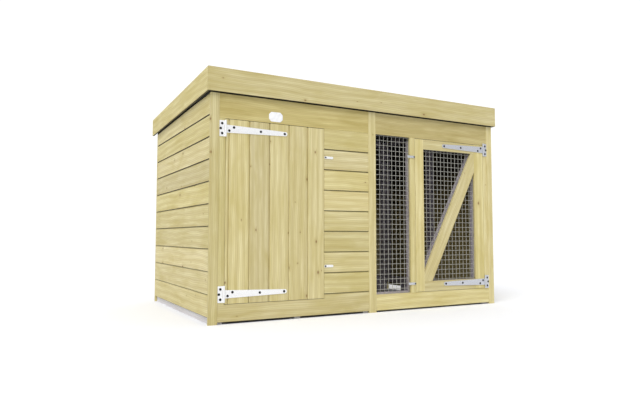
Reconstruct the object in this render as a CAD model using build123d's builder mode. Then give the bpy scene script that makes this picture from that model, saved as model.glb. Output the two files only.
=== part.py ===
from build123d import *
import math
import os

# A timber dog kennel with a wire-mesh run beside it, under one roof that falls to the back.
# Distances "across" start at the outside of the left wall, distances "back" start at the
# face of the front boards, and heights start at the ground.
# The origin is the middle of the ground area that the whole object covers. All sizes are mm.

# Walls and roof
house_width = 1706.0
house_depth = 1048.0
roof_overhang = 18.0
rear_overhang = 57.0
fascia_thickness = 10.0
front_fascia_top = 1142.0
front_fascia_height = 109.0
rear_fascia_top = 1101.0
rear_fascia_height = 97.0
fascia_upstand = 8.0
deck_thickness = 10.0
felt_thickness = 2.0
felt_turn_down = 32.0
purlin_fronts = (340.0, 690.0)

# Timber
board_thickness = 12.0
frame_width = 44.0
frame_depth = 28.0
joint_gap = 0.3

# Shiplap boards
board_pitch = 100.0
board_lip = 6.0
board_lap = 9.0
board_bevel = 1.5
scoop_height = 14.0
scoop_sag = 1.6
board_play = 0.4
side_boards_bottom = 32.0
front_boards_bottom = 9.0
front_board_rows = 8

# Trims on the front
post_width = 41.0
mid_post_left = 838.0
mid_post_width = 45.0
post_proud = 2.0
hinge_strip_width = 30.0
header_bottom = 917.0
kennel_sill_board_top = 109.0
run_sill_board_top = 89.0
mid_stile_left = 1105.0
mid_stile_width = 33.0

# Doors
door_gap = 2.0
door_stop_gap = 0.3
door_stop_lap = 10.0
kennel_door_left = 73.0
kennel_door_right = 576.0
kennel_door_bottom = 88.0
first_door_board = 17.0
run_door_left = 1140.0
run_door_bottom = 91.0
lock_stile_width = 57.0
hinge_stile_width = 65.0
door_rail_width = 54.0
brace_width = 70.0
brace_shift = 12.5
backing_side_play = 10.0
backing_end_play = 5.0
ledge_play = 10.0

# Welded mesh
wire_diameter = 2.2
mesh_pitch = 25.9
mesh_lap = 12.0
mesh_play = 0.05
fixed_mesh_first_wire = 7.8
fixed_mesh_top_wire = 27.0
door_mesh_first_wire = 2.1
door_mesh_top_wire = 9.1

# Floor
wall_bearer_width = 56.0
bearer_width = 29.0
bearer_height = 42.0
floor_thickness = 12.0

rear_foot_inset = 249.0

# Partition with the hatch that the dog walks through
hatch_front = 340.0
hatch_width = 360.0
hatch_top = 634.0

# Tee hinges
hinge_axis_inset = 1.5
hinge_axis_out = 5.4
barrel_radius = 4.6
pin_radius = 2.4
pin_play = 0.05
pin_press = 0.02
leaf_thickness = 2.5
leaf_lift = 0.5
plate_height = 72.5
plate_width = 27.8
strap_length = 307.0
strap_root_height = 36.0
strap_tip_height = 20.0
knuckle_play = 0.3
kennel_hinge_heights = (870.5, 131.5)
run_hinge_heights = (889.0, 127.0)
plate_screws = ((-16.0, 22.5), (-22.5, 0.0), (-16.0, -22.5))
strap_screws = ((17.5, -8.0), (40.0, 8.0), (171.0, 0.0), (293.0, 0.0))

# Screws
screw_head_radius = 4.6
screw_shank_radius = 2.0
screw_length = 11.0

# Turn buttons
button_length = 50.0
button_width = 12.0
button_thickness = 3.0
button_lift = 0.6
button_end_play = 0.3
button_hole_play = 0.1
pivot_from_edge = 6.0
pivot_head_radius = 4.4
pivot_head_height = 2.2
kennel_button_heights = (774.0, 242.0)
run_button_heights = (814.0, 136.0)

# Places that follow from the sizes above
left_face = -house_width / 2
front_face = -(house_depth + rear_overhang - roof_overhang) / 2
roof_length = roof_overhang + house_depth + rear_overhang
roof_fall = (front_fascia_top - rear_fascia_top) / roof_length
roof_high = max(front_fascia_top, rear_fascia_top)
floor_top = bearer_height + floor_thickness
rail_top = floor_top + frame_width
frame_back = board_thickness + frame_depth
right_frame_left = house_width - frame_back
back_frame_front = house_depth - frame_back
mid_post_right = mid_post_left + mid_post_width
mid_stile_right = mid_stile_left + mid_stile_width
right_post_left = house_width - post_width
kennel_strip_right = post_width + hinge_strip_width
run_strip_left = right_post_left - hinge_strip_width
run_door_right = run_strip_left - door_gap
kennel_panel_left = kennel_door_right + door_gap
door_top = header_bottom - door_gap
lintel_bottom = header_bottom - door_stop_lap
lintel_top = lintel_bottom + frame_width
mid_stud_right = mid_post_right
mid_stud_left = mid_stud_right - frame_width
stop_stud_left = kennel_door_right - door_stop_lap
stile_stud_right = mid_stile_left + frame_width
end_stud_left = right_frame_left - frame_width
corner_stud_right = frame_back + frame_width
kennel_hinge_axis = kennel_strip_right - hinge_axis_inset
run_hinge_axis = run_strip_left + hinge_axis_inset
door_front = -door_stop_gap
door_boards_back = board_thickness - door_stop_gap
mesh_depth = 2 * wire_diameter + 4 * mesh_play

os.makedirs("parts", exist_ok=True)


def across(distance):
    """Model x of a distance from the outside of the left wall."""
    return left_face + distance


def back(distance):
    """Model y of a distance from the face of the front boards."""
    return front_face + distance


def deck_underside(distance):
    """Height of the roof deck's underside at a distance back."""
    front_height = front_fascia_top - fascia_upstand - felt_thickness - deck_thickness
    return front_height - roof_fall * (distance + roof_overhang)


def under_deck(front, rear):
    """Height of a level top that clears the roof deck from one place back to another."""
    return min(deck_underside(front), deck_underside(rear)) - joint_gap


def front_view(distance):
    """Plane facing the front: local x runs across and local y runs up."""
    return Plane(origin=(left_face, back(distance), 0), x_dir=(1, 0, 0), z_dir=(0, -1, 0))


def side_view(distance):
    """Plane facing the right: local x runs back and local y runs up."""
    return Plane(origin=(across(distance), front_face, 0), x_dir=(0, 1, 0), z_dir=(1, 0, 0))


def top_view(height):
    """Level plane: local x runs across and local y runs back."""
    return Plane(origin=(left_face, front_face, height), x_dir=(1, 0, 0), z_dir=(0, 0, 1))


def bar(low, high, from_level, to_level):
    """One square-cut member in the open sketch, between two places and two levels."""
    with Locations(((low + high) / 2, (from_level + to_level) / 2)):
        Rectangle(high - low, to_level - from_level)


def sloping_bar(front, rear, height):
    """A member along the roof's fall in a side view, its top under the roof deck."""
    corners = [
        (front, deck_underside(front) - height),
        (rear, deck_underside(rear) - height),
        (rear, deck_underside(rear)),
        (front, deck_underside(front)),
    ]
    Polygon(*corners, align=None)


def shiplap(low, high, rebated=True, tongued=True):
    """Section of one shiplap board: local x runs into the wall, local y across the board.
    The lip of each board covers the tongue and the top of the scoop of the board before it."""
    tongue_face = board_lip + board_play
    tongue_end = high + board_lap - board_play
    points = [(0, low + board_bevel), (board_bevel, low)]
    if rebated:
        points += [(board_lip, low), (board_lip, low + board_lap), (board_thickness, low + board_lap)]
    else:
        points += [(board_thickness, low)]
    if tongued:
        points += [(board_thickness, tongue_end), (tongue_face, tongue_end), (tongue_face, high)]
        scoop_foot = (0, high - scoop_height)
        with BuildLine() as outline:
            Polyline(*points)
            SagittaArc(points[-1], scoop_foot, -scoop_sag)
            Line(scoop_foot, points[0])
        make_face(outline.edges())
    else:
        points += [(board_thickness, high), (0, high)]
        Polygon(*points, align=None)


def keep_under_deck():
    """Cut the open part off along the underside of the roof deck."""
    slope_normal = (0, roof_fall, 1)
    deck_plane = Plane(origin=(0, front_face, deck_underside(0)), x_dir=(1, 0, 0), z_dir=slope_normal)
    split(bisect_by=deck_plane, keep=Keep.BOTTOM)


def save(piece, name):
    """Label a finished piece and write its file."""
    piece.part.label = name
    export_step(piece.part, f"parts/{name}.step")


# Floor of the kennel: three bearers on the ground, boards across them
floor_right = mid_stud_left - joint_gap
right_bearer_left = floor_right - bearer_width
middle_bearer_left = (board_thickness + wall_bearer_width + right_bearer_left - bearer_width) / 2
bearers = (
    ("left_bearer", board_thickness, wall_bearer_width),
    ("middle_bearer", middle_bearer_left, bearer_width),
    ("right_bearer", right_bearer_left, bearer_width),
)
for name, bearer_left, width in bearers:
    with BuildPart() as bearer:
        with BuildSketch(top_view(0)):
            bar(bearer_left, bearer_left + width, board_thickness, house_depth - board_thickness)
        extrude(amount=bearer_height)
    save(bearer, name)

with BuildPart() as kennel_floor:
    floor_run = house_depth - 2 * board_thickness
    floor_rows = math.floor(floor_run / board_pitch)
    floor_row = floor_run / floor_rows
    with BuildSketch(top_view(bearer_height)):
        for row in range(floor_rows):
            row_front = board_thickness + row * floor_row
            bar(board_thickness, floor_right, row_front, row_front + floor_row - board_play)
    extrude(amount=floor_thickness)
save(kennel_floor, "kennel_floor")


def side_frame(plane_across, studs, rail_from, rail_to, foot_blocks=()):
    """Frame of a wall that runs front to back: bottom rail, studs and a sloping top rail."""
    with BuildPart() as frame:
        with BuildSketch(side_view(plane_across)):
            bar(rail_from, rail_to, floor_top, rail_top)
            sloping_bar(rail_from, rail_to, frame_width)
            for stud_front in studs:
                stud_rear = stud_front + frame_width
                bar(stud_front, stud_rear, rail_top + joint_gap, under_deck(stud_front, stud_rear) - frame_width)
            for block_front in foot_blocks:
                bar(block_front, block_front + frame_width, 0, floor_top - joint_gap)
        extrude(amount=frame_depth)
    return frame


wall_front = board_thickness
wall_rear = house_depth - board_thickness
middle_stud = (wall_front + wall_rear - frame_width) / 2
left_frame = side_frame(board_thickness, (wall_front, middle_stud, wall_rear - frame_width), wall_front, wall_rear)
save(left_frame, "left_wall_frame")

right_feet = (wall_front, house_depth - rear_foot_inset)
right_frame = side_frame(
    right_frame_left, (wall_front, middle_stud, wall_rear - frame_width), wall_front, wall_rear, right_feet
)
save(right_frame, "right_wall_frame")

# Side cladding, its top boards cut to the fall of the roof
side_length = wall_rear - wall_front - 2 * joint_gap
side_rows = math.ceil((roof_high - side_boards_bottom) / board_pitch)


def side_cladding(section_plane, direction):
    """Rows of shiplap from the bottom of a side wall up to the roof deck."""
    with BuildPart() as cladding:
        with BuildSketch(section_plane):
            for row in range(side_rows):
                row_bottom = side_boards_bottom + row * board_pitch
                if row_bottom + board_lap < under_deck(wall_front, wall_rear):
                    shiplap(row_bottom, row_bottom + board_pitch, rebated=row > 0)
        extrude(amount=direction * side_length)
        keep_under_deck()
    return cladding


left_section = Plane(
    origin=(across(0), back(wall_front + joint_gap), 0), x_dir=(1, 0, 0), z_dir=(0, -1, 0)
)
left_cladding = side_cladding(left_section, -1)
save(left_cladding, "left_wall_cladding")

right_section = Plane(
    origin=(across(house_width), back(wall_front + joint_gap), 0), x_dir=(-1, 0, 0), z_dir=(0, 1, 0)
)
right_cladding = side_cladding(right_section, 1)
save(right_cladding, "right_wall_cladding")

# Back wall
frame_left = frame_back + joint_gap
frame_right = right_frame_left - joint_gap
back_plate_top = under_deck(back_frame_front, back_frame_front + frame_depth)
with BuildPart() as back_wall_frame:
    with BuildSketch(front_view(back_frame_front)):
        bar(frame_left, frame_right, floor_top, rail_top)
        bar(frame_left, frame_right, back_plate_top - frame_width, back_plate_top)
        kennel_stud = (frame_left + mid_stud_left) / 2
        run_stud = (mid_stud_left + frame_right - frame_width) / 2
        stud_lefts = (frame_left, kennel_stud, mid_stud_left, run_stud, frame_right - frame_width)
        for stud_left in stud_lefts:
            bar(stud_left, stud_left + frame_width, rail_top + joint_gap, back_plate_top - frame_width - joint_gap)
        bar(mid_stud_left + joint_gap, frame_right, 0, floor_top - joint_gap)
    extrude(amount=-frame_depth)
save(back_wall_frame, "back_wall_frame")

back_boards_length = right_post_left - post_width - 2 * joint_gap
back_section = Plane(
    origin=(across(right_post_left - joint_gap), back(house_depth), 0), x_dir=(0, -1, 0), z_dir=(-1, 0, 0)
)
with BuildPart() as back_wall_cladding:
    with BuildSketch(back_section):
        for row in range(side_rows):
            row_bottom = side_boards_bottom + row * board_pitch
            if row_bottom + board_lap < under_deck(house_depth - board_thickness, house_depth):
                shiplap(row_bottom, row_bottom + board_pitch, rebated=row > 0)
    extrude(amount=back_boards_length)
    keep_under_deck()
save(back_wall_cladding, "back_wall_cladding")

with BuildPart() as back_corner_posts:
    with BuildSketch(top_view(0)):
        for post_left in (0, right_post_left):
            bar(post_left, post_left + post_width, house_depth - board_thickness, house_depth)
    extrude(amount=roof_high)
    keep_under_deck()
save(back_corner_posts, "back_corner_posts")


# Front posts, which reach the ground and stand a little proud of the boards
def front_post(post_left, post_right):
    """A planed post board from the ground to the roof deck."""
    with BuildPart() as post:
        with BuildSketch(top_view(0)):
            bar(post_left, post_right, -post_proud, board_thickness)
        extrude(amount=roof_high)
        edges_down = post.edges().filter_by(Axis.Z).group_by(Axis.Y)[0]
        chamfer(edges_down, length=1.0)
        keep_under_deck()
    return post


left_post = front_post(0, post_width)
save(left_post, "left_corner_post")
mid_post = front_post(mid_post_left, mid_post_right)
save(mid_post, "mid_post")
right_post = front_post(right_post_left, house_width)
save(right_post, "right_corner_post")

# Framing behind the front boards, with a shallow recess for the edge of the fixed mesh
front_plate_top = under_deck(board_thickness, frame_back)
fixed_mesh_across = (mid_post_right - mesh_lap, mid_stile_left + mesh_lap)
fixed_mesh_up = (run_sill_board_top - mesh_lap, header_bottom + mesh_lap)
with BuildPart() as front_frame:
    with BuildSketch(front_view(board_thickness)):
        stud_foot = rail_top + joint_gap
        bar(frame_left, corner_stud_right, floor_top, front_plate_top)
        bar(mid_stud_left, mid_stud_right, 0, front_plate_top)
        bar(end_stud_left, frame_right, 0, front_plate_top)
        for bay_left, bay_right, bay_stud in (
            (corner_stud_right, mid_stud_left, stop_stud_left),
            (mid_stud_right, end_stud_left, mid_stile_left),
        ):
            bar(bay_left + joint_gap, bay_right - joint_gap, floor_top, rail_top)
            bar(bay_left + joint_gap, bay_right - joint_gap, lintel_bottom, lintel_top)
            bar(bay_left + joint_gap, bay_right - joint_gap, front_plate_top - frame_width, front_plate_top)
            bar(bay_stud, bay_stud + frame_width, stud_foot, lintel_bottom - joint_gap)
    extrude(amount=-frame_depth)
    recess_play = 0.5
    with BuildSketch(front_view(board_thickness)) as mesh_recess:
        bar(
            fixed_mesh_across[0] - recess_play, fixed_mesh_across[1] + recess_play,
            fixed_mesh_up[0] - recess_play, fixed_mesh_up[1] + recess_play,
        )
    extrude(amount=-mesh_depth, mode=Mode.SUBTRACT)
save(front_frame, "front_frame")

# Screw places on the front, as distances across and up
kennel_plate_spots = [
    (kennel_hinge_axis + along, height + up) for height in kennel_hinge_heights for along, up in plate_screws
]
kennel_strap_spots = [
    (kennel_hinge_axis + along, height + up) for height in kennel_hinge_heights for along, up in strap_screws
]
run_plate_spots = [
    (run_hinge_axis - along, height - up) for height in run_hinge_heights for along, up in plate_screws
]
run_strap_spots = [
    (run_hinge_axis - along, height - up) for height in run_hinge_heights for along, up in strap_screws
]
kennel_pivot_across = kennel_panel_left + pivot_from_edge
run_pivot_across = mid_stile_right - pivot_from_edge
kennel_pivot_spots = [(kennel_pivot_across, height) for height in kennel_button_heights]
run_pivot_spots = [(run_pivot_across, height) for height in run_button_heights]


def pilot_holes(spots):
    """Screw holes through the open part's front boards."""
    with BuildSketch(front_view(-post_proud)) as holes:
        with Locations(*spots):
            RegularPolygon(screw_shank_radius, 6)
    extrude(holes.sketch, amount=-(post_proud + screw_length), mode=Mode.SUBTRACT)


# Front boards of the kennel
with BuildPart() as kennel_hinge_strip:
    with BuildSketch(front_view(0)):
        bar(post_width + joint_gap, kennel_strip_right, kennel_sill_board_top + joint_gap, header_bottom - joint_gap)
    extrude(amount=-board_thickness)
    pilot_holes(kennel_plate_spots)
save(kennel_hinge_strip, "kennel_hinge_strip")

header_top = under_deck(0, board_thickness)
with BuildPart() as kennel_header_board:
    with BuildSketch(front_view(0)):
        bar(post_width + joint_gap, mid_post_left - joint_gap, header_bottom, header_top)
    extrude(amount=-board_thickness)
save(kennel_header_board, "kennel_header_board")

front_section = Plane(
    origin=(across(post_width + joint_gap), front_face, 0), x_dir=(0, 1, 0), z_dir=(1, 0, 0)
)
front_boards_length = mid_post_left - post_width - 2 * joint_gap
with BuildPart() as kennel_sill_board:
    with BuildSketch(front_section):
        shiplap(front_boards_bottom, kennel_sill_board_top, rebated=False)
    extrude(amount=front_boards_length)
    with BuildSketch(front_view(0)):
        bar(0, kennel_strip_right, kennel_sill_board_top, header_bottom)
        bar(kennel_strip_right, kennel_panel_left, kennel_door_bottom - door_gap, header_bottom)
    extrude(amount=-board_thickness, mode=Mode.SUBTRACT)
    pilot_holes(kennel_plate_spots)
save(kennel_sill_board, "kennel_sill_board")

panel_section = Plane(origin=(across(kennel_panel_left), front_face, 0), x_dir=(0, 1, 0), z_dir=(1, 0, 0))
panel_row = (header_bottom - joint_gap - kennel_sill_board_top) / front_board_rows
with BuildPart() as kennel_front_cladding:
    with BuildSketch(panel_section):
        for row in range(front_board_rows):
            row_bottom = kennel_sill_board_top + row * panel_row
            shiplap(row_bottom, row_bottom + panel_row, tongued=row < front_board_rows - 1)
    extrude(amount=mid_post_left - joint_gap - kennel_panel_left)
    pilot_holes(kennel_pivot_spots)
save(kennel_front_cladding, "kennel_front_cladding")

# Front boards of the run
with BuildPart() as run_header_board:
    with BuildSketch(front_view(0)):
        bar(mid_post_right + joint_gap, right_post_left - joint_gap, header_bottom, header_top)
    extrude(amount=-board_thickness)
save(run_header_board, "run_header_board")

with BuildPart() as run_sill_board:
    with BuildSketch(front_view(0)):
        bar(mid_post_right + joint_gap, right_post_left - joint_gap, front_boards_bottom, run_sill_board_top)
    extrude(amount=-board_thickness)
save(run_sill_board, "run_sill_board")

with BuildPart() as run_mid_stile:
    with BuildSketch(front_view(0)):
        bar(mid_stile_left, mid_stile_right, run_sill_board_top + joint_gap, header_bottom - joint_gap)
    extrude(amount=-board_thickness)
    pilot_holes(run_pivot_spots)
save(run_mid_stile, "run_mid_stile")

with BuildPart() as run_hinge_strip:
    with BuildSketch(front_view(0)):
        bar(run_strip_left, right_post_left - joint_gap, run_sill_board_top + joint_gap, header_bottom - joint_gap)
    extrude(amount=-board_thickness)
    pilot_holes(run_plate_spots)
save(run_hinge_strip, "run_hinge_strip")


# Welded mesh: upright wires in front, level wires behind them, each its own solid
def mesh_panel(mesh_across, mesh_up, first_upright, top_level, face):
    """A sheet of square mesh whose front lies on a face at a distance back."""
    upright_count = math.floor((mesh_across[1] - first_upright) / mesh_pitch) + 1
    level_count = math.floor((top_level - mesh_up[0]) / mesh_pitch) + 1
    front_layer = face + mesh_play + wire_diameter / 2
    rear_layer = front_layer + wire_diameter + mesh_play
    uprights = [(first_upright + count * mesh_pitch, front_layer) for count in range(upright_count)]
    levels = [(rear_layer, top_level - count * mesh_pitch) for count in range(level_count)]
    wire_radius = wire_diameter / 2 / math.cos(math.pi / 6)
    with BuildPart() as mesh:
        with BuildSketch(top_view(mesh_up[0])):
            with Locations(*uprights):
                RegularPolygon(wire_radius, 6)
        extrude(amount=mesh_up[1] - mesh_up[0])
        with BuildSketch(side_view(mesh_across[0])):
            with Locations(*levels):
                RegularPolygon(wire_radius, 6, rotation=30)
        extrude(amount=mesh_across[1] - mesh_across[0])
    return mesh


fixed_mesh = mesh_panel(
    fixed_mesh_across, fixed_mesh_up,
    mid_post_right + fixed_mesh_first_wire, header_bottom - fixed_mesh_top_wire + mesh_pitch, board_thickness,
)
save(fixed_mesh, "fixed_mesh_panel")

# Partition between kennel and run, with the hatch that the dog walks through
partition_left = floor_right - frame_depth
partition_face = floor_right + joint_gap
partition_front = frame_back + joint_gap
partition_rear = back_frame_front - joint_gap
hatch_rear = hatch_front + hatch_width
hatch_studs = (hatch_front - frame_width, hatch_rear)
with BuildPart() as partition_frame:
    with BuildSketch(side_view(partition_left)):
        bar(partition_front, partition_rear, floor_top, rail_top)
        sloping_bar(partition_front, partition_rear, frame_width)
        for stud_front in (partition_front, *hatch_studs, partition_rear - frame_width):
            stud_rear = stud_front + frame_width
            bar(stud_front, stud_rear, rail_top + joint_gap, under_deck(stud_front, stud_rear) - frame_width)
        bar(hatch_front + joint_gap, hatch_rear - joint_gap, hatch_top, hatch_top + frame_width)
    extrude(amount=frame_depth)
save(partition_frame, "partition_frame")

partition_section = Plane(
    origin=(across(partition_face + board_thickness), back(partition_front), 0), x_dir=(-1, 0, 0), z_dir=(0, 1, 0)
)
with BuildPart() as partition_cladding:
    with BuildSketch(partition_section):
        for row in range(side_rows):
            row_bottom = side_boards_bottom + row * board_pitch
            if row_bottom + board_lap < under_deck(partition_front, partition_rear):
                shiplap(row_bottom, row_bottom + board_pitch, rebated=row > 0)
    extrude(amount=partition_rear - partition_front)
    with BuildSketch(side_view(partition_face)):
        bar(hatch_front, hatch_rear, rail_top, hatch_top)
    extrude(amount=board_thickness, mode=Mode.SUBTRACT)
    keep_under_deck()
save(partition_cladding, "partition_cladding")

# Roof: purlins between the walls, deck, felt and fascias
run_bay_left = partition_face + board_thickness + joint_gap
for purlin_front, name in zip(purlin_fronts, ("front_purlins", "rear_purlins")):
    purlin_top = under_deck(purlin_front, purlin_front + frame_depth)
    with BuildPart() as purlins:
        with BuildSketch(front_view(purlin_front)):
            bar(frame_left, partition_left - joint_gap, purlin_top - frame_width, purlin_top)
            bar(run_bay_left, frame_right, purlin_top - frame_width, purlin_top)
        extrude(amount=-frame_depth)
    save(purlins, name)

deck_left = fascia_thickness - roof_overhang
deck_right = house_width - deck_left
deck_rear = house_depth + rear_overhang - felt_thickness
deck_joint = mid_stud_left
with BuildPart() as roof_deck:
    for sheet_left, sheet_right in ((deck_left, deck_joint - joint_gap), (deck_joint, deck_right)):
        with BuildSketch(side_view(sheet_left)):
            Polygon(
                (deck_left, deck_underside(deck_left)),
                (deck_rear, deck_underside(deck_rear)),
                (deck_rear, deck_underside(deck_rear) + deck_thickness),
                (deck_left, deck_underside(deck_left) + deck_thickness),
                align=None,
            )
        extrude(amount=sheet_right - sheet_left)
save(roof_deck, "roof_deck")

felt_rear = deck_rear + felt_thickness
deck_top_front = deck_underside(deck_left) + deck_thickness
deck_top_rear = deck_underside(deck_rear) + deck_thickness
with BuildPart() as roof_felt:
    with BuildSketch(side_view(deck_left)):
        Polygon(
            (deck_left, deck_top_front),
            (deck_rear, deck_top_rear),
            (deck_rear, deck_top_rear - felt_turn_down),
            (felt_rear, deck_top_rear - felt_turn_down),
            (felt_rear, deck_top_rear + felt_thickness),
            (deck_left, deck_top_front + felt_thickness),
            align=None,
        )
    extrude(amount=deck_right - deck_left)
save(roof_felt, "roof_felt")

with BuildPart() as rear_eaves_batten:
    batten_front = deck_rear - frame_depth
    batten_top = under_deck(batten_front, deck_rear)
    with BuildSketch(front_view(batten_front)):
        bar(deck_left, deck_right, batten_top - frame_width, batten_top)
    extrude(amount=-frame_depth)
save(rear_eaves_batten, "rear_eaves_batten")

with BuildPart() as front_fascia:
    with BuildSketch(front_view(-roof_overhang)):
        fascia_bottom = front_fascia_top - front_fascia_height
        bar(-roof_overhang, house_width + roof_overhang, fascia_bottom, front_fascia_top)
    extrude(amount=-fascia_thickness)
save(front_fascia, "front_fascia")


def side_fascia(fascia_left):
    """A fascia board along one side, cut to the fall of the roof."""
    fascia_front = deck_left
    fascia_rear = house_depth + rear_overhang
    front_bottom = front_fascia_top - front_fascia_height
    rear_bottom = rear_fascia_top - rear_fascia_height
    bottom_fall = (front_bottom - rear_bottom) / roof_length
    with BuildPart() as fascia:
        with BuildSketch(side_view(fascia_left)):
            Polygon(
                (fascia_front, front_bottom - bottom_fall * fascia_thickness),
                (fascia_rear, rear_bottom),
                (fascia_rear, rear_fascia_top),
                (fascia_front, front_fascia_top - roof_fall * fascia_thickness),
                align=None,
            )
        extrude(amount=fascia_thickness)
    return fascia


left_fascia = side_fascia(-roof_overhang)
save(left_fascia, "left_fascia")
right_fascia = side_fascia(house_width + roof_overhang - fascia_thickness)
save(right_fascia, "right_fascia")

# Kennel door: upright shiplap boards, with two ledges and a brace behind
door_section = Plane(
    origin=(left_face, back(door_front), door_top), x_dir=(0, 1, 0), z_dir=(0, 0, -1)
)
with BuildPart() as kennel_door_boards:
    seams = [kennel_door_left, kennel_door_left + first_door_board]
    while seams[-1] + board_pitch < kennel_door_right:
        seams.append(seams[-1] + board_pitch)
    seams.append(kennel_door_right)
    with BuildSketch(door_section):
        for number in range(len(seams) - 1):
            last = number == len(seams) - 2
            shiplap(seams[number], seams[number + 1], rebated=number > 0, tongued=not last)
    extrude(amount=door_top - kennel_door_bottom)
    pilot_holes(kennel_strap_spots)
save(kennel_door_boards, "kennel_door_boards")

ledge_left = corner_stud_right + ledge_play
ledge_right = stop_stud_left - ledge_play
upper_ledge, lower_ledge = kennel_hinge_heights
half_ledge = frame_width / 2
brace_foot = lower_ledge + half_ledge + joint_gap
brace_head = upper_ledge - half_ledge - joint_gap
with BuildPart() as kennel_door_ledges:
    with BuildSketch(front_view(door_boards_back)):
        for ledge_height in kennel_hinge_heights:
            bar(ledge_left, ledge_right, ledge_height - half_ledge, ledge_height + half_ledge)
    extrude(amount=-frame_depth)
save(kennel_door_ledges, "kennel_door_ledges")

with BuildPart() as kennel_door_brace:
    with BuildSketch(front_view(door_boards_back)):
        Polygon(
            (ledge_left, brace_foot),
            (ledge_left + frame_width, brace_foot),
            (ledge_right, brace_head),
            (ledge_right - frame_width, brace_head),
            align=None,
        )
    extrude(amount=-frame_depth)
save(kennel_door_brace, "kennel_door_brace")

# Run door: stiles, rails and a long brace in front of the mesh, and a backing frame behind it
light_left = run_door_left + lock_stile_width
light_right = run_door_right - hinge_stile_width
light_bottom = run_door_bottom + door_rail_width
light_top = door_top - door_rail_width
with BuildPart() as run_door_stiles:
    with BuildSketch(front_view(door_front)):
        bar(run_door_left, light_left, run_door_bottom, door_top)
        bar(light_right, run_door_right, run_door_bottom, door_top)
    extrude(amount=-board_thickness)
    pilot_holes(run_strap_spots)
save(run_door_stiles, "run_door_stiles")

with BuildPart() as run_door_rails:
    with BuildSketch(front_view(door_front)):
        bar(light_left + joint_gap, light_right - joint_gap, run_door_bottom, light_bottom)
        bar(light_left + joint_gap, light_right - joint_gap, light_top, door_top)
    extrude(amount=-board_thickness)
    pilot_holes(run_strap_spots)
save(run_door_rails, "run_door_rails")

light_centre = ((light_left + light_right) / 2, (light_bottom + light_top) / 2)
light_width = light_right - light_left
light_height = light_top - light_bottom
brace_angle = math.degrees(math.atan2(light_height, light_width))


def brace_outline():
    """The brace's face in the open sketch: a band across the light, cut to fit inside it."""
    shift_across = brace_shift * math.sin(math.radians(brace_angle))
    shift_up = -brace_shift * math.cos(math.radians(brace_angle))
    with Locations((light_centre[0] + shift_across, light_centre[1] + shift_up)):
        Rectangle(2 * light_height, brace_width, rotation=brace_angle)
    with Locations(light_centre):
        Rectangle(light_width - 2 * joint_gap, light_height - 2 * joint_gap, mode=Mode.INTERSECT)


with BuildPart() as run_door_brace:
    with BuildSketch(front_view(door_front)):
        brace_outline()
    extrude(amount=-board_thickness)
save(run_door_brace, "run_door_brace")

backing_left = stile_stud_right + backing_side_play
backing_right = end_stud_left - backing_side_play
backing_bottom = rail_top + backing_end_play
backing_top = lintel_bottom - backing_end_play
door_mesh_across = (light_left - mesh_lap, light_right + mesh_lap)
door_mesh_up = (light_bottom - mesh_lap, light_top + mesh_lap)
with BuildPart() as run_door_backing:
    with BuildSketch(front_view(door_boards_back)):
        bar(backing_left, light_left, backing_bottom, backing_top)
        bar(light_right, backing_right, backing_bottom, backing_top)
        bar(light_left + joint_gap, light_right - joint_gap, backing_bottom, light_bottom)
        bar(light_left + joint_gap, light_right - joint_gap, light_top, backing_top)
    extrude(amount=-frame_depth)
    with BuildSketch(front_view(door_boards_back)) as brace_backing:
        brace_outline()
    extrude(amount=-frame_depth)
    with BuildSketch(front_view(door_boards_back)) as door_mesh_recess:
        bar(
            door_mesh_across[0] - recess_play, door_mesh_across[1] + recess_play,
            door_mesh_up[0] - recess_play, door_mesh_up[1] + recess_play,
        )
    extrude(amount=-mesh_depth, mode=Mode.SUBTRACT)
save(run_door_backing, "run_door_backing")

door_mesh = mesh_panel(
    door_mesh_across, door_mesh_up,
    light_left + door_mesh_first_wire, light_top - door_mesh_top_wire, door_boards_back,
)
save(door_mesh, "run_door_mesh")

# Tee hinges. Each is drawn on a plane whose origin is the foot of its axis on the front face,
# local x towards the strap, local z out of the wall. A run hinge is a kennel hinge turned over.
kennel_hinge_planes = [
    Plane(origin=(across(kennel_hinge_axis), front_face, height), x_dir=(1, 0, 0), z_dir=(0, -1, 0))
    for height in kennel_hinge_heights
]
run_hinge_planes = [
    Plane(origin=(across(run_hinge_axis), front_face, height), x_dir=(-1, 0, 0), z_dir=(0, -1, 0))
    for height in run_hinge_heights
]


def barrel_plane(hinge_plane, along):
    """Plane square to the hinge's axis at a place along it, its origin on the axis."""
    origin = hinge_plane.from_local_coords(Vector(0, along, hinge_axis_out))
    return Plane(origin=origin, x_dir=hinge_plane.x_dir, z_dir=hinge_plane.y_dir)


def hinge_bore(hinge_plane, radius):
    """Hole for the hinge pin through the open part."""
    with BuildSketch(barrel_plane(hinge_plane, -plate_height)) as bore:
        Circle(radius)
    extrude(bore.sketch, amount=2 * plate_height, mode=Mode.SUBTRACT)


def screw_seats(hinge_plane, spots):
    """Countersunk holes in the leaf, for the screws."""
    face = leaf_lift + leaf_thickness
    seats = [hinge_plane.location * Pos(along, up, face) for along, up in spots]
    with Locations(*seats):
        CounterSinkHole(screw_shank_radius + button_hole_play, screw_head_radius, depth=2 * leaf_thickness)


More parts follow.
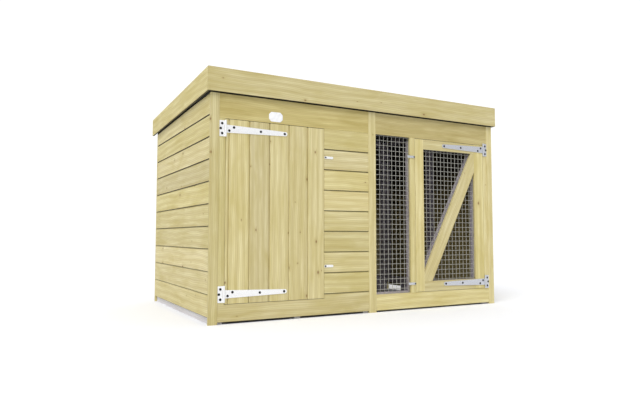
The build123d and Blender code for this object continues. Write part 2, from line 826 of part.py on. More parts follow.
def hinge_plates(hinge_planes):
    """Fixed leaves: a plate with a knuckle at each end."""
    with BuildPart() as plates:
        for hinge_plane in hinge_planes:
            with BuildSketch(hinge_plane.offset(leaf_lift)) as leaf:
                with Locations((-plate_width / 2, 0)):
                    Rectangle(plate_width, plate_height)
                fillet(leaf.vertices().sort_by(Axis.X if hinge_plane.x_dir.X > 0 else -Axis.X)[:2], 1.5)
            extrude(leaf.sketch, amount=leaf_thickness)
            with BuildSketch(barrel_plane(hinge_plane, -plate_height / 2)) as barrel:
                Circle(barrel_radius)
            extrude(barrel.sketch, amount=plate_height)
            with BuildSketch(hinge_plane) as knuckle_slot:
                Rectangle(2 * barrel_radius + 2 * knuckle_play, strap_root_height + 2 * knuckle_play)
            extrude(knuckle_slot.sketch, amount=2 * hinge_axis_out, mode=Mode.SUBTRACT)
            hinge_bore(hinge_plane, pin_radius + pin_press)
            screw_seats(hinge_plane, plate_screws)
    return plates


def hinge_straps(hinge_planes):
    """Moving leaves: one wide knuckle and a long strap that tapers to a rounded end."""
    with BuildPart() as straps:
        for hinge_plane in hinge_planes:
            half_root = strap_root_height / 2
            half_tip = strap_tip_height / 2
            tip_start = strap_length - half_tip
            with BuildSketch(hinge_plane.offset(leaf_lift)) as leaf:
                with BuildLine() as outline:
                    Polyline(
                        (tip_start, half_tip),
                        (2 * barrel_radius, half_root),
                        (0, half_root),
                        (0, -half_root),
                        (2 * barrel_radius, -half_root),
                        (tip_start, -half_tip),
                    )
                    ThreePointArc((tip_start, -half_tip), (strap_length, 0), (tip_start, half_tip))
                make_face(outline.edges())
            extrude(leaf.sketch, amount=leaf_thickness)
            with BuildSketch(barrel_plane(hinge_plane, -half_root)) as knuckle:
                Circle(barrel_radius)
            extrude(knuckle.sketch, amount=strap_root_height)
            hinge_bore(hinge_plane, pin_radius + pin_play)
            screw_seats(hinge_plane, strap_screws)
    return straps


def hinge_pins(hinge_planes):
    """Pins through the knuckles, each with a low head at its upper end."""
    head_height = 1.6
    with BuildPart() as pins:
        for hinge_plane in hinge_planes:
            up = 1 if hinge_plane.y_dir.Z > 0 else -1
            half_plate = plate_height / 2
            with BuildSketch(barrel_plane(hinge_plane, -half_plate)) as shank:
                Circle(pin_radius)
            extrude(shank.sketch, amount=plate_height)
            with BuildSketch(barrel_plane(hinge_plane, up * half_plate)) as head:
                Circle(barrel_radius - 1)
            extrude(head.sketch, amount=up * head_height)
    return pins


kennel_plates = hinge_plates(kennel_hinge_planes)
save(kennel_plates, "kennel_hinge_plates")
kennel_straps = hinge_straps(kennel_hinge_planes)
save(kennel_straps, "kennel_hinge_straps")
kennel_pins = hinge_pins(kennel_hinge_planes)
save(kennel_pins, "kennel_hinge_pins")
run_plates = hinge_plates(run_hinge_planes)
save(run_plates, "run_hinge_plates")
run_straps = hinge_straps(run_hinge_planes)
save(run_straps, "run_hinge_straps")
run_pins = hinge_pins(run_hinge_planes)
save(run_pins, "run_hinge_pins")


# Screws: countersunk heads level with the leaves, shanks in the boards' pilot holes
def countersunk_screws(spots):
    """One screw for each spot on the front, all pointing into the boards."""
    leaf_face = leaf_lift + leaf_thickness
    cone_height = screw_head_radius - screw_shank_radius
    with BuildPart() as screws:
        for spot in spots:
            with BuildSketch(front_view(-leaf_face)) as head:
                with Locations(spot):
                    Circle(screw_head_radius - 0.1)
            extrude(head.sketch, amount=-cone_height, taper=45)
            with BuildSketch(front_view(cone_height - leaf_face)) as shank:
                with Locations(spot):
                    RegularPolygon(screw_shank_radius - mesh_play, 6)
            extrude(shank.sketch, amount=-(screw_length - cone_height + leaf_lift))
    return screws


kennel_plate_fixings = countersunk_screws(kennel_plate_spots)
save(kennel_plate_fixings, "kennel_plate_screws")
kennel_strap_fixings = countersunk_screws(kennel_strap_spots)
save(kennel_strap_fixings, "kennel_strap_screws")
run_plate_fixings = countersunk_screws(run_plate_spots)
save(run_plate_fixings, "run_plate_screws")
run_strap_fixings = countersunk_screws(run_strap_spots)
save(run_strap_fixings, "run_strap_screws")


# Turn buttons, each pivoting on a round-headed screw in the fixed boards beside its door
def pivot_screws(spots):
    """Screws that the turn buttons pivot on."""
    under_head = button_lift + button_thickness + button_end_play
    with BuildPart() as screws:
        for spot in spots:
            with BuildSketch(front_view(-under_head)) as head:
                with Locations(spot):
                    Circle(pivot_head_radius)
            extrude(head.sketch, amount=pivot_head_height, taper=25)
            with BuildSketch(front_view(-under_head)) as shank:
                with Locations(spot):
                    Circle(screw_shank_radius - mesh_play)
            extrude(shank.sketch, amount=-under_head)
            with BuildSketch(front_view(0)) as root:
                with Locations(spot):
                    RegularPolygon(screw_shank_radius - mesh_play, 6)
            extrude(root.sketch, amount=-screw_length)
    return screws


def turn_button(spot, direction):
    """A flat bar with rounded ends, pivoting near one end. Its arm points away from the door."""
    arm = button_length / 2 - button_width / 2
    with BuildPart() as button:
        with BuildSketch(front_view(-button_lift)) as outline:
            with Locations((spot[0] + direction * arm, spot[1])):
                SlotOverall(button_length, button_width)
        extrude(outline.sketch, amount=button_thickness)
        chamfer(button.faces().sort_by(Axis.Y)[0].edges(), length=0.8)
        with BuildSketch(front_view(-button_lift)) as pivot_hole:
            with Locations(spot):
                Circle(screw_shank_radius - mesh_play + button_hole_play)
        extrude(pivot_hole.sketch, amount=button_thickness, mode=Mode.SUBTRACT)
    return button


kennel_pivots = pivot_screws(kennel_pivot_spots)
save(kennel_pivots, "kennel_button_screws")
run_pivots = pivot_screws(run_pivot_spots)
save(run_pivots, "run_button_screws")
for spot, name in zip(kennel_pivot_spots, ("kennel_upper_button", "kennel_lower_button")):
    save(turn_button(spot, 1), name)
for spot, name in zip(run_pivot_spots, ("run_upper_button", "run_lower_button")):
    save(turn_button(spot, -1), name)
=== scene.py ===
import math

import bmesh
import bpy
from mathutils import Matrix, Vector


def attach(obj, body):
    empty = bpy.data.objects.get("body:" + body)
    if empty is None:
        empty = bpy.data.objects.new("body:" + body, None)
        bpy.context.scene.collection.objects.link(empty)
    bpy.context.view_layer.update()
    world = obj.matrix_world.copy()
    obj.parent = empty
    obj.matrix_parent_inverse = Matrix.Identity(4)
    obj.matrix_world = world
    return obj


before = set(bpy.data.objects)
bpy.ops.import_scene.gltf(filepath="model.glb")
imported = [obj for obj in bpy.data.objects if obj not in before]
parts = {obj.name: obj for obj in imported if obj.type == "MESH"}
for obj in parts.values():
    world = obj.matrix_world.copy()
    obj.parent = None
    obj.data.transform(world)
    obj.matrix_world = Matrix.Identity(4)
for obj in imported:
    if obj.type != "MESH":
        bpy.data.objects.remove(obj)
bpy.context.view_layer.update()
scene = bpy.context.scene

# Camera at the photograph's angle: low, to the left of the kennel and turned to its front.
# All sizes are in metres. X runs to the right of the front, Y to the back and Z up.
camera = bpy.data.objects.new("camera", bpy.data.cameras.new("camera"))
camera.location = (-1.60347, -2.92757, 0.388428)
camera.rotation_euler = (math.radians(93.688), 0, math.radians(-28.695))
camera.data.lens = 31.415
scene.collection.objects.link(camera)
scene.camera = camera


# Bearers of the kennel's floor: three lengths of rough-sawn spruce that lie on the ground.
# They run from front to back, and their pale ends show in the gap under the front.
def linear(hex_colour):
    """Scene colour of an sRGB hex colour."""
    channels = [int(hex_colour[i:i + 2], 16) / 255 for i in (1, 3, 5)]
    values = [c / 12.92 if c <= 0.04045 else ((c + 0.055) / 1.055) ** 2.4 for c in channels]
    return (*values, 1.0)


def add(tree, kind, inputs=(), stops=(), **settings):
    """Adds a shader node with its settings and links, and gives it back.
    inputs is a tuple for its first sockets, or a dict of sockets. A node or a socket in it is linked,
    and anything else is set. stops are the (position, hex colour) of a colour ramp."""
    made = tree.nodes.new("ShaderNode" + kind)
    for word, value in settings.items():
        setattr(made, word, value)
    sockets = inputs if isinstance(inputs, dict) else dict(enumerate(inputs))
    for socket, value in sockets.items():
        if isinstance(value, bpy.types.Node):
            value = value.outputs[0]
        if isinstance(value, bpy.types.NodeSocket):
            tree.links.new(value, made.inputs[socket])
        else:
            made.inputs[socket].default_value = value
    while stops and len(made.color_ramp.elements) < len(stops):
        made.color_ramp.elements.new(0.5)
    for number, (position, colour) in enumerate(stops):
        made.color_ramp.elements[number].position = position
        made.color_ramp.elements[number].color = linear(colour)
    return made


def surface(name, **sockets):
    """A new material with its shader's plain sockets set: (material, node tree, shader)."""
    material = bpy.data.materials.new(name)
    material.use_nodes = True
    tree = material.node_tree
    shader = tree.nodes["Principled BSDF"]
    for key, value in sockets.items():
        shader.inputs[key.replace("_", " ")].default_value = value
    return material, tree, shader


def softwood(name, along, width, rows=None, light="#E0D6A4", dark="#C7B97C", line="#A68F55", knot="#7A5228",
             knots=0.28, turn=0.0, laps=0.0, inner=None, eaves=None):
    """Softwood with a low, soft gloss, whose growth rings, streaks and knots run along the boards.
    along is the axis of the grain, and width that of each board's width.
    rows = (axis, start, pitch) tells the boards of one piece apart.
    light, dark, line and knot are its colours, and knots is the share of places that hold a knot.
    turn slants the grain, and laps is how dark the joints between the boards are painted, as dirt and painted
    shade.
    inner = (axis, level, side, foot colour) is where rough-sawn inner faces start; they carry painted light
    and shade, the foot colour at their foot and darkening towards the roof.
    eaves = (level, fall) is where the black shade under the roof's edge starts."""
    material, tree, shader = surface(name, Roughness=0.62, Specular_IOR_Level=0.3)
    place = add(tree, "TexCoord").outputs["Object"]
    raw = add(tree, "SeparateXYZ", (place,)).outputs
    if turn:
        place = add(tree, "VectorRotate", {"Vector": place, "Angle": turn}, rotation_type="Y_AXIS")
    axes = add(tree, "SeparateXYZ", (place,)).outputs
    depth = ({"X", "Y", "Z"} - {along, width}).pop()
    board = 0.0
    if rows:
        rows_axis, rows_start, pitch = rows
        from_start = add(tree, "Math", (raw[rows_axis], rows_start), operation="SUBTRACT")
        rank = add(tree, "Math", (from_start, pitch), operation="DIVIDE")
        board = add(tree, "Math", (rank,), operation="FLOOR")

    # Each piece, and each board of it, is cut from another place in the log
    piece_step = 61.0
    board_step = 3.17
    log_steps = (1.9, 0.4, 0.4)
    piece = add(tree, "ObjectInfo").outputs["Random"]
    piece_seed = add(tree, "Math", (piece, piece_step), operation="MULTIPLY")
    board_seed = add(tree, "Math", (board, board_step), operation="MULTIPLY")
    seed = add(tree, "Math", (piece_seed, board_seed), operation="ADD")
    chance = add(tree, "TexWhiteNoise", {"W": seed}, noise_dimensions="1D").outputs
    draws = add(tree, "SeparateXYZ", (chance["Color"],)).outputs
    cut = add(tree, "CombineXYZ", (seed, draws[0], draws[1]))
    on_board = add(tree, "CombineXYZ", (axes[along], axes[width], axes[depth]))
    log = add(tree, "VectorMath", (cut, log_steps, on_board), operation="MULTIPLY_ADD")
    log_axes = add(tree, "SeparateXYZ", (log,)).outputs

    # Knots 8 to 26 mm long and 5 to 16 mm wide, in some of the places of 143 by 91 mm.
    # Most are small, and the grain swirls round each of them.
    knot_places_per_metre = (7.0, 11.0, 1.0)
    smallest_knot = 0.022
    knot_range = 0.05
    knot_edge = 1.25
    swirl_fade = -0.28
    knot_places = add(tree, "VectorMath", (log, knot_places_per_metre), operation="MULTIPLY")
    cell_sockets = {"Vector": knot_places, "Scale": 1.0, "Randomness": 0.9}
    cells = add(tree, "TexVoronoi", cell_sockets, voronoi_dimensions="2D").outputs
    picks = add(tree, "SeparateXYZ", (cells["Color"],)).outputs
    chosen = add(tree, "Math", (picks[0], knots), operation="LESS_THAN")
    mostly_small = add(tree, "Math", (picks[1], 2.0), operation="POWER")
    size = add(tree, "Math", (mostly_small, knot_range, smallest_knot), operation="MULTIPLY_ADD")
    near = add(tree, "Math", (cells["Distance"], size), operation="DIVIDE")
    heart = add(tree, "Math", (knot_edge, near), operation="SUBTRACT", use_clamp=True)
    heart = add(tree, "Math", (chosen, heart), operation="MULTIPLY")
    swirl = add(tree, "Math", (near, swirl_fade, 1.0), operation="MULTIPLY_ADD", use_clamp=True)
    swirl = add(tree, "Math", (chosen, swirl), operation="MULTIPLY")

    # Growth rings bend along the board over 455 by 200 mm, and swell round a knot.
    # Real ones are 2 to 4 mm apart, too fine to show, so they are drawn 8.5 mm apart.
    ring_width = 0.0085
    flame_width = 0.031
    ring_sharpness = 3.0
    ring_slant = 0.9
    drifts_per_metre = (2.2, 5.0, 5.0)
    drift_bend = 0.055
    swirl_bend = 0.006
    drift_places = add(tree, "VectorMath", (log, drifts_per_metre), operation="MULTIPLY")
    drift = add(tree, "TexNoise", {"Vector": drift_places, "Scale": 1.0, "Detail": 2.0})
    bend = add(tree, "Math", (drift, drift_bend), operation="MULTIPLY")
    bend = add(tree, "Math", (swirl, swirl_bend, bend), operation="MULTIPLY_ADD")
    slant = add(tree, "Math", (log_axes[2], ring_slant, bend), operation="MULTIPLY_ADD")
    shell = add(tree, "Math", (log_axes[1], slant), operation="ADD")
    bands = []
    for spacing in (ring_width, flame_width):
        angle = add(tree, "Math", (shell, 2 * math.pi / spacing), operation="MULTIPLY")
        wave = add(tree, "Math", (angle,), operation="SINE")
        bands.append(add(tree, "Math", (wave, 0.5, 0.5), operation="MULTIPLY_ADD"))
    ring = add(tree, "Math", (bands[0], ring_sharpness), operation="POWER")
    flame = bands[1]

    # Streaks of 250 by 17 mm with fine fibres in them, and clouds of 222 by 71 mm, mix two tones
    streaks_per_metre = (4.0, 60.0, 60.0)
    clouds_per_metre = (4.5, 14.0, 14.0)
    streak_share = 0.45
    cloud_share = 0.55
    darkest_tone = 0.36
    lightest_tone = 0.62
    streak_places = add(tree, "VectorMath", (log, streaks_per_metre), operation="MULTIPLY")
    streak = add(tree, "TexNoise", {"Vector": streak_places, "Scale": 1.0, "Detail": 5.0, "Roughness": 0.6})
    cloud_places = add(tree, "VectorMath", (log, clouds_per_metre), operation="MULTIPLY")
    cloud = add(tree, "TexNoise", {"Vector": cloud_places, "Scale": 1.0, "Detail": 4.0, "Distortion": 0.6})
    tone = add(tree, "Math", (cloud, cloud_share), operation="MULTIPLY")
    tone = add(tree, "Math", (streak, streak_share, tone), operation="MULTIPLY_ADD")
    colour = add(tree, "ValToRGB", (tone,), stops=((darkest_tone, dark), (lightest_tone, light)))

    # Over them lie rings and flames, then each board's own shade and warmth, then the knots
    ring_share = 0.5
    faintest_ring = 0.02
    flame_share = 0.42
    shade_range = 0.16
    darkest_shade = 0.92
    blue_range = 0.14
    least_blue = 0.93
    swirl_share = 0.35
    heart_share = 0.8
    ring_strength = add(tree, "Math", (cloud, ring_share, faintest_ring), operation="MULTIPLY_ADD")
    ring_strength = add(tree, "Math", (ring, ring_strength), operation="MULTIPLY")
    flame_strength = add(tree, "Math", (cloud, flame_share), operation="MULTIPLY")
    flame_strength = add(tree, "Math", (flame, flame_strength), operation="MULTIPLY")
    shade = add(tree, "Math", (chance["Value"], shade_range, darkest_shade), operation="MULTIPLY_ADD")
    blue = add(tree, "Math", (draws[2], blue_range, least_blue), operation="MULTIPLY_ADD")
    blue = add(tree, "Math", (shade, blue), operation="MULTIPLY")
    board_tint = add(tree, "CombineXYZ", (shade, shade, blue))
    swirl_strength = add(tree, "Math", (swirl, swirl_share), operation="MULTIPLY")
    heart_strength = add(tree, "Math", (heart, heart_share), operation="MULTIPLY")
    layers = [
        (ring_strength, linear(line), "MIX"),
        (flame_strength, linear(line), "MIX"),
        (1.0, board_tint, "MULTIPLY"),
        (swirl_strength, linear(line), "MIX"),
        (heart_strength, linear(knot), "MIX"),
    ]

    # Dirt and painted shade darken the joints, over the first 2.5 mm of each row
    if laps:
        lap_width = 0.0025
        lap = add(tree, "Math", (rank,), operation="FRACT")
        lap = add(tree, "Math", (lap, -pitch / lap_width, 1.0), operation="MULTIPLY_ADD", use_clamp=True)
        lap_dirt_and_shade = add(tree, "Math", (lap, laps), operation="MULTIPLY")
        layers.append((lap_dirt_and_shade, linear("#4E4220"), "MIX"))

    # Painted shade: faces that point down are painted dark, as if in shadow
    facing_down = -0.6
    underside_shade_share = 0.9
    facing = add(tree, "NewGeometry").outputs["True Normal"]
    facing_up = add(tree, "SeparateXYZ", (facing,)).outputs["Z"]
    under = add(tree, "Math", (facing_up, facing_down), operation="LESS_THAN")
    under = add(tree, "Math", (under, underside_shade_share), operation="MULTIPLY")
    layers.append((under, linear("#15120B"), "MIX"))

    # Inner faces are rough-sawn, without rings, and carry painted light and shade: lighter at the foot,
    # darker towards the roof
    if inner:
        inner_axis, inner_level, inner_side, painted_foot_light = inner
        streak_rise = 0.4
        past = add(tree, "Math", (raw[inner_axis], inner_level), operation="SUBTRACT")
        past = add(tree, "Math", (past, inner_side), operation="MULTIPLY")
        past = add(tree, "Math", (past, 0.0), operation="GREATER_THAN")
        height = add(tree, "Math", (streak, streak_rise, raw["Z"]), operation="MULTIPLY_ADD")
        # Painted light at the foot, painted shade towards the roof
        inner_light_and_shade_tones = ((0.2, painted_foot_light), (0.75, "#8E7E50"), (1.0, "#2E2616"))
        sawn = add(tree, "ValToRGB", (height,), stops=inner_light_and_shade_tones)
        layers.append((past, sawn, "MIX"))

    # The shade under the roof's edge starts over 2.5 mm
    if eaves:
        eaves_level, eaves_fall = eaves
        shade_edge = 0.0025
        above = add(tree, "Math", (raw["Y"], eaves_fall, -eaves_level), operation="MULTIPLY_ADD")
        above = add(tree, "Math", (raw["Z"], above), operation="ADD")
        above = add(tree, "Math", (above, 1 / shade_edge), operation="MULTIPLY", use_clamp=True)
        layers.append((above, linear("#0C0906"), "MIX"))

    for strength, over, mode in layers:
        mixed = add(tree, "Mix", {0: strength, 6: colour, 7: over}, data_type="RGBA", blend_type=mode)
        colour = mixed.outputs[2]
    tree.links.new(colour, shader.inputs["Base Color"])
    ring_dip = -0.35
    fibres = add(tree, "Math", (ring, ring_dip, streak), operation="MULTIPLY_ADD")
    relief = add(tree, "Bump", {"Height": fibres, "Strength": 0.35, "Distance": 0.0006})
    tree.links.new(relief.outputs[0], shader.inputs["Normal"])
    return material


def dress(material, *names):
    """Gives CAD nodes their material."""
    for name in names:
        part = parts[name]
        part.data.materials.clear()
        part.data.materials.append(material)


bearer_wood = softwood("bearer_spruce", "Y", "X", light="#F2F0EC", dark="#DEDAD2", line="#C4BCAE", knots=0.11)
dress(bearer_wood, "left_bearer", "middle_bearer", "right_bearer")

# Floor of the kennel: spruce boards laid on the bearers from side to side, 102.4 mm each.
# They are of a warmer tone than the bearers.
floor_rows = ("Y", -0.5315, 0.1024)
floor_wood = softwood("floor_board_spruce", "X", "Y", rows=floor_rows, light="#DCCB9C", dark="#C3AC78")
dress(floor_wood, "kennel_floor")

# Framing: planed spruce that was never dipped in the walls' preservative, so it looks grey.
# Rails, purlins and ledges lie level, and the side frames run from front to back.
# The backing of the run door and the brace of the kennel door have an upright grain.
frame_tones = dict(light="#C3BCC4", dark="#9E96A0", line="#857C82", knot="#5E4A44", knots=0.14)
# The header boards keep the light off the front frame above 0.9 m
header_shade = (0.9, 0.0)
dress(softwood("framing_spruce_front", "X", "Z", eaves=header_shade, **frame_tones), "front_frame")
level_wood = softwood("framing_spruce_level", "X", "Z", **frame_tones)
dress(level_wood, "back_wall_frame", "front_purlins", "rear_purlins", "rear_eaves_batten")
dress(level_wood, "kennel_door_ledges")
side_wood = softwood("framing_spruce_side", "Y", "Z", **frame_tones)
dress(side_wood, "left_wall_frame", "right_wall_frame", "partition_frame")
dress(softwood("framing_spruce_upright", "Z", "X", **frame_tones), "run_door_backing", "kennel_door_brace")

# Walls: shiplap boards of pine dipped in pale green preservative, 100 mm of each left in sight.
# Each row comes from another part of the tree. The boards' inner faces are rough-sawn, with painted light and
# shade: lighter at the foot and darker towards the roof.
side_rows = ("Z", 0.032, 0.1)
panel_rows = ("Z", 0.109, 0.10096)
# Dark joints between the boards, part dirt and part painted shade under each lap
joint_dirt_and_shade = 0.68
# Black shade under the roof's edge, which starts 5 mm below the fascias and falls to the back with them
fascia_shade = (1.0135, 0.0264)
# Each wall has its pine, its piece, the axis of its grain, its inner faces with their painted light and
# shade, and the roof's shade
walls = (
    ("shiplap_pine_left", "left_wall_cladding", "Y", ("X", -0.8415, 1.0, "#C8BA84"), fascia_shade),
    ("shiplap_pine_right", "right_wall_cladding", "Y", ("X", 0.8415, -1.0, "#A8996A"), fascia_shade),
    ("shiplap_pine_partition", "partition_cladding", "Y", ("X", -0.0135, -1.0, "#C8BA84"), None),
    ("shiplap_pine_back", "back_wall_cladding", "X", ("Y", 0.493, -1.0, "#FFF4C4"), None),
)
for pine, cladding, grain, inside, shade in walls:
    wall_pine = softwood(pine, grain, "Z", rows=side_rows, laps=joint_dirt_and_shade, inner=inside, eaves=shade)
    dress(wall_pine, cladding)
dress(softwood("shiplap_pine_panel", "X", "Z", rows=panel_rows, laps=joint_dirt_and_shade), "kennel_front_cladding")

# Posts, strip, stile, sill boards and header boards: planed boards of the same pine, nailed on.
# The header boards are given a darker tone as painted shade of the fascia.
upright_pine = softwood("planed_pine_upright", "Z", "X", knots=0.17, eaves=fascia_shade)
dress(upright_pine, "left_corner_post", "mid_post", "right_corner_post", "back_corner_posts")
dress(upright_pine, "run_hinge_strip", "run_mid_stile")
dress(softwood("planed_pine_level", "X", "Z", knots=0.22), "kennel_sill_board", "run_sill_board")
header_painted_shade_tones = dict(light="#CFC28A", dark="#B3A366", knots=0.22, eaves=fascia_shade)
dress(softwood("planed_pine_header", "X", "Z", **header_painted_shade_tones), "kennel_header_board", "run_header_board")

# Fascias: thin planed boards of the same pine, nailed round the front and the sides of the roof.
# Their grain runs along them.
dress(softwood("fascia_pine_front", "X", "Z", knots=0.19), "front_fascia")
dress(softwood("fascia_pine_side", "Y", "Z", knots=0.19), "left_fascia", "right_fascia")

# Roof deck: sheets of strand board, pressed from flakes of 71 by 25 mm.
# Only its underside shows, through the slot behind the fascias, and its colour is painted nearly black as
# painted shade.
deck_board, tree, shader = surface("strand_board", Roughness=0.75)
flakes_per_metre = (14, 40, 40)
deck_place = add(tree, "TexCoord").outputs["Object"]
flake_places = add(tree, "Mapping", {"Vector": deck_place, "Scale": flakes_per_metre})
flakes = add(tree, "TexVoronoi", {"Vector": flake_places, "Scale": 1.0}).outputs
flake = add(tree, "SeparateXYZ", (flakes["Color"],)).outputs[0]
# Painted shade: the flakes' tones are nearly black
flake_painted_shade_tones = ((0.0, "#0E0C0A"), (0.5, "#171310"), (1.0, "#221D17"))
flake_painted_shade_colour = add(tree, "ValToRGB", (flake,), stops=flake_painted_shade_tones)
tree.links.new(flake_painted_shade_colour.outputs[0], shader.inputs["Base Color"])
flake_relief = add(tree, "Bump", {"Height": flake, "Strength": 0.3, "Distance": 0.0006})
tree.links.new(flake_relief.outputs[0], shader.inputs["Normal"])
dress(deck_board, "roof_deck")

# Roofing felt: bitumen sheet faced with dark mineral granules, which make it dull and gritty.
# It is turned down at the back. The granules are 1.6 mm wide, and wear unevenly over 290 mm.
felt, tree, shader = surface("mineral_felt", Specular_IOR_Level=0.25)
granules_per_metre = 620.0
wear_per_metre = 3.5
granule_share = 0.6
wear_share = 0.4
smoothest_felt = 0.8
felt_unevenness = 0.15
felt_place = add(tree, "TexCoord").outputs["Object"]
granules = add(tree, "TexVoronoi", {"Vector": felt_place, "Scale": granules_per_metre}).outputs
granule = add(tree, "SeparateXYZ", (granules["Color"],)).outputs[0]
wear = add(tree, "TexNoise", {"Vector": felt_place, "Scale": wear_per_metre, "Detail": 4.0})
felt_tone = add(tree, "Math", (wear, wear_share), operation="MULTIPLY")
felt_tone = add(tree, "Math", (granule, granule_share, felt_tone), operation="MULTIPLY_ADD")
felt_colour = add(tree, "ValToRGB", (felt_tone,), stops=((0.2, "#25282A"), (0.8, "#5A5E5E")))
tree.links.new(felt_colour.outputs[0], shader.inputs["Base Color"])
felt_gloss = add(tree, "Math", (wear, felt_unevenness, smoothest_felt), operation="MULTIPLY_ADD")
tree.links.new(felt_gloss.outputs[0], shader.inputs["Roughness"])
felt_relief = add(tree, "Bump", {"Height": granule, "Strength": 0.5, "Distance": 0.0008})
tree.links.new(felt_relief.outputs[0], shader.inputs["Normal"])
dress(felt, "roof_felt")

# Kennel door: upright shiplap boards of the same pine, 100 mm of each in sight.
# The strip that carries its hinges is a board of the same batch, which has more knots.
door_rows = ("X", -0.763, 0.1)
door_pine = softwood("shiplap_pine_door", "Z", "X", rows=door_rows, knots=0.33)
dress(door_pine, "kennel_hinge_strip", "kennel_door_boards")

# Run door: two stiles, two rails and a brace of planed pine, each cut from another board.
# The brace climbs from the latch side's foot to the hinge side's head, and its grain with it.
stile_rows = ("X", -0.2, 0.3)
rail_rows = ("Z", 0.0, 0.5)
brace_rise = 0.716
brace_run = 0.371
brace_slope = math.atan2(brace_rise, brace_run)
dress(softwood("run_door_pine_upright", "Z", "X", rows=stile_rows, knots=0.14), "run_door_stiles")
dress(softwood("run_door_pine_level", "X", "Z", rows=rail_rows, knots=0.11), "run_door_rails")
dress(softwood("run_door_pine_brace", "X", "Z", turn=brace_slope, knots=0.11), "run_door_brace")


# Mesh: steel wire welded to squares of an inch and galvanised, which leaves it grey and dull.
# One panel is fixed beside the run door, and the other is held behind the door's frame.
def plated_steel(name, light, dark, roughness, metallic, cloud_scale=240.0):
    """Steel with a thin metal coat: clouds of colour 4 mm wide, uneven gloss and a grain of 0.5 mm.
    Another cloud_scale, in clouds per metre, changes both widths."""
    material, tree, shader = surface(name, Metallic=metallic)
    place = add(tree, "TexCoord").outputs["Object"]
    cloud = add(tree, "TexNoise", {"Vector": place, "Scale": cloud_scale, "Detail": 3.0})
    grain_scale = cloud_scale * 9
    grain = add(tree, "TexNoise", {"Vector": place, "Scale": grain_scale, "Detail": 2.0})
    colour = add(tree, "ValToRGB", (cloud,), stops=((0.3, dark), (0.7, light)))
    tree.links.new(colour.outputs[0], shader.inputs["Base Color"])
    unevenness = 0.2
    smoothest = roughness - unevenness / 2
    gloss = add(tree, "Math", (cloud, unevenness, smoothest), operation="MULTIPLY_ADD")
    tree.links.new(gloss.outputs[0], shader.inputs["Roughness"])
    relief = add(tree, "Bump", {"Height": grain, "Strength": 0.15, "Distance": 0.0002})
    tree.links.new(relief.outputs[0], shader.inputs["Normal"])
    return material


mesh_wire = plated_steel("galvanised_wire", "#C4C3BA", "#A09F96", 0.5, 0.3)
dress(mesh_wire, "fixed_mesh_panel", "run_door_mesh")

# Tee hinges: pressed steel plates and straps, rolled round a pin, with zinc plate that looks white.
# Those of the run door, and its turn buttons, have a greyer and duller plate.
bright_zinc = plated_steel("bright_zinc_plate", "#FFFFFF", "#ECEDEE", 0.42, 0.2)
dress(bright_zinc, "kennel_hinge_plates", "kennel_hinge_straps", "kennel_hinge_pins")
dull_zinc = plated_steel("dull_zinc_plate", "#DCDEE4", "#BEC1C8", 0.42, 0.45)
dress(dull_zinc, "run_hinge_plates", "run_hinge_straps", "run_hinge_pins")

# Turn buttons: small bars of plated steel, two at each door, that turn round a screw.
# Their screws are of dark grey steel, and its clouds are 2 mm wide.
dress(bright_zinc, "kennel_upper_button", "kennel_lower_button")
dress(dull_zinc, "run_upper_button", "run_lower_button")
small_clouds = 500.0
grey_steel = plated_steel("button_screw_steel", "#4A4A50", "#2E2E34", 0.4, 0.6, small_clouds)
dress(grey_steel, "kennel_button_screws", "run_button_screws")


# Hinge screws: black steel with a dull face, three to each plate and four to each strap.
# Each has a domed head 12 mm across and 1.4 mm high, slotted, over the flat screw of the CAD.
def screw_heads(screws, body):
    """Domed heads over the screws of a node, which ride on a body."""
    head_radius = 0.006
    head_height = 0.0014
    sink = 0.0001
    # The slot, in parts of the dome's radius and height
    slot_half_width = 0.2
    slot_depth = 0.35
    slot_floor = -0.5
    # The CAD's screws are 9.2 mm across, so points nearer than this are on the same one
    same_screw = 0.0094
    groups = []
    for vertex in parts[screws].data.vertices:
        here = parts[screws].matrix_world @ vertex.co
        near = [g for g in groups if math.hypot(g[0].x - here.x, g[0].z - here.z) < same_screw]
        if near:
            near[0].append(here)
        else:
            groups.append([here])
    shape = bmesh.new()
    for group in groups:
        low = [min(point[i] for point in group) for i in range(3)]
        high = [max(point[i] for point in group) for i in range(3)]
        middle = Vector(((low[0] + high[0]) / 2, low[1], (low[2] + high[2]) / 2))
        dome = bmesh.ops.create_uvsphere(shape, u_segments=24, v_segments=12, radius=1.0)["verts"]
        for vertex in dome:
            x, y, z = vertex.co
            slot = slot_depth if abs(x) < slot_half_width and y < slot_floor else 0.0
            vertex.co = middle + Vector((x * head_radius, (y + slot) * head_height - sink, z * head_radius))
    for face in shape.faces:
        face.smooth = True
    mesh = bpy.data.meshes.new(screws + "_heads")
    shape.to_mesh(mesh)
    shape.free()
    heads = bpy.data.objects.new(screws + "_heads", mesh)
    scene.collection.objects.link(heads)
    heads.data.materials.append(black_steel)
    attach(heads, body)


black_steel = plated_steel("black_screw_steel", "#101014", "#060608", 0.65, 0.0, small_clouds)
for screws, body in (
    ("kennel_plate_screws", "house"),
    ("kennel_strap_screws", "kennel_door"),
    ("run_plate_screws", "house"),
    ("run_strap_screws", "run_door"),
):
    dress(black_steel, screws)
    screw_heads(screws, body)

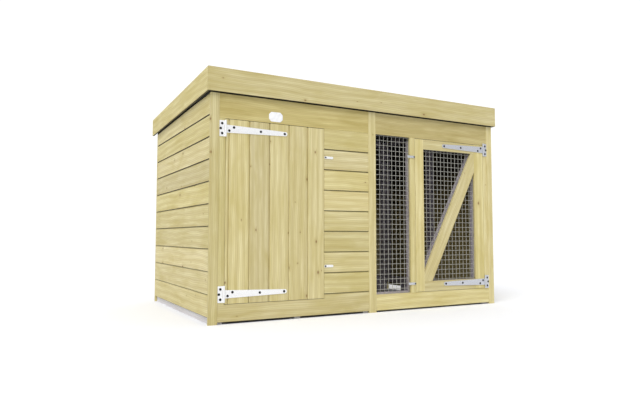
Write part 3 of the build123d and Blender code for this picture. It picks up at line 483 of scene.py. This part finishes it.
# Blank plate: enamelled sheet, 70 by 46 mm and 1.5 mm thick, with cut corners and a rolled edge.
# It sits on the kennel's header board over the middle of the door.
# Its glaze is white and smooth, with a faint haze 17 mm wide.
plate_half_width = 0.035
plate_half_height = 0.023
plate_thickness = 0.0015
corner_cut = 0.012
rolled_edge = 0.0006
plate_middle = Vector((-0.536, -0.5435, 0.948))
plate_outline = []
for side_x, side_z in ((1, 1), (-1, 1), (-1, -1), (1, -1)):
    side_end = (side_x * plate_half_width, side_z * (plate_half_height - corner_cut))
    top_end = (side_x * (plate_half_width - corner_cut), side_z * plate_half_height)
    plate_outline += [side_end, top_end] if side_x * side_z > 0 else [top_end, side_end]
plate_shape = bmesh.new()
plate_corners = [plate_shape.verts.new(plate_middle + Vector((x, 0, z))) for x, z in plate_outline]
plate_back = plate_shape.faces.new(plate_corners)
plate_front = bmesh.ops.extrude_face_region(plate_shape, geom=[plate_back])["geom"]
front_corners = [item for item in plate_front if isinstance(item, bmesh.types.BMVert)]
bmesh.ops.translate(plate_shape, verts=front_corners, vec=(0, -plate_thickness, 0))
bmesh.ops.recalc_face_normals(plate_shape, faces=plate_shape.faces)
front_rim = [edge for edge in plate_shape.edges if all(v.co.y < plate_middle.y for v in edge.verts)]
bmesh.ops.bevel(plate_shape, geom=front_rim, offset=rolled_edge, segments=2, affect="EDGES")
plate_mesh = bpy.data.meshes.new("blank_plate")
plate_shape.to_mesh(plate_mesh)
plate_shape.free()
plate = bpy.data.objects.new("blank_plate", plate_mesh)
scene.collection.objects.link(plate)
enamel, tree, shader = surface("white_enamel", Roughness=0.3)
enamel_place = add(tree, "TexCoord").outputs["Object"]
haze_per_metre = 60.0
haze = add(tree, "TexNoise", {"Vector": enamel_place, "Scale": haze_per_metre, "Detail": 3.0})
enamel_colour = add(tree, "ValToRGB", (haze,), stops=((0.3, "#EDEEF0"), (0.7, "#FFFFFF")))
tree.links.new(enamel_colour.outputs[0], shader.inputs["Base Color"])
plate.data.materials.append(enamel)
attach(plate, "house")

# Studio floor: a sheet of pale matt paper that reaches 30 m to each side.
# It takes the kennel's shadow without any gloss.
reach = 30
floor_corners = [(-reach, -reach, 0), (reach, -reach, 0), (reach, reach, 0), (-reach, reach, 0)]
floor_mesh = bpy.data.meshes.new("studio_floor")
floor_mesh.from_pydata(floor_corners, [], [(0, 1, 2, 3)])
floor = bpy.data.objects.new("studio_floor", floor_mesh)
scene.collection.objects.link(floor)
floor_paper, tree, shader = surface("studio_paper", Base_Color=linear("#F1F2F6"), Roughness=0.9)
floor_mesh.materials.append(floor_paper)

# Background: white all round. It is brighter to the camera than as a light on the kennel.
# The view transform is Standard, so that white comes out as white.
backdrop_light = 0.42
more_to_camera = 0.65
world = bpy.data.worlds.new("studio")
scene.world = world
world.use_nodes = True
tree = world.node_tree
backdrop = tree.nodes["Background"]
backdrop.inputs["Color"].default_value = (1, 1, 1, 1)
seen = add(tree, "LightPath").outputs["Is Camera Ray"]
brightness = add(tree, "Math", (seen, more_to_camera, backdrop_light), operation="MULTIPLY_ADD")
tree.links.new(brightness.outputs[0], backdrop.inputs["Strength"])
scene.view_settings.view_transform = "Standard"

# Lights: a broad soft one from the front left, and a broader one from above.
# Each is given by the direction it stands in, its width in degrees and its power.
for lamp_name, direction, lamp_width, power in (
    ("key", (-0.5, -0.5, 0.8), 40, 1.98),
    ("top", (0.1, 0.1, 1.0), 80, 1.1),
):
    lamp_data = bpy.data.lights.new(lamp_name, "SUN")
    lamp_data.angle = math.radians(lamp_width)
    lamp_data.energy = power
    lamp = bpy.data.objects.new(lamp_name, lamp_data)
    lamp.rotation_euler = Vector(direction).to_track_quat("Z", "Y").to_euler()
    scene.collection.objects.link(lamp)
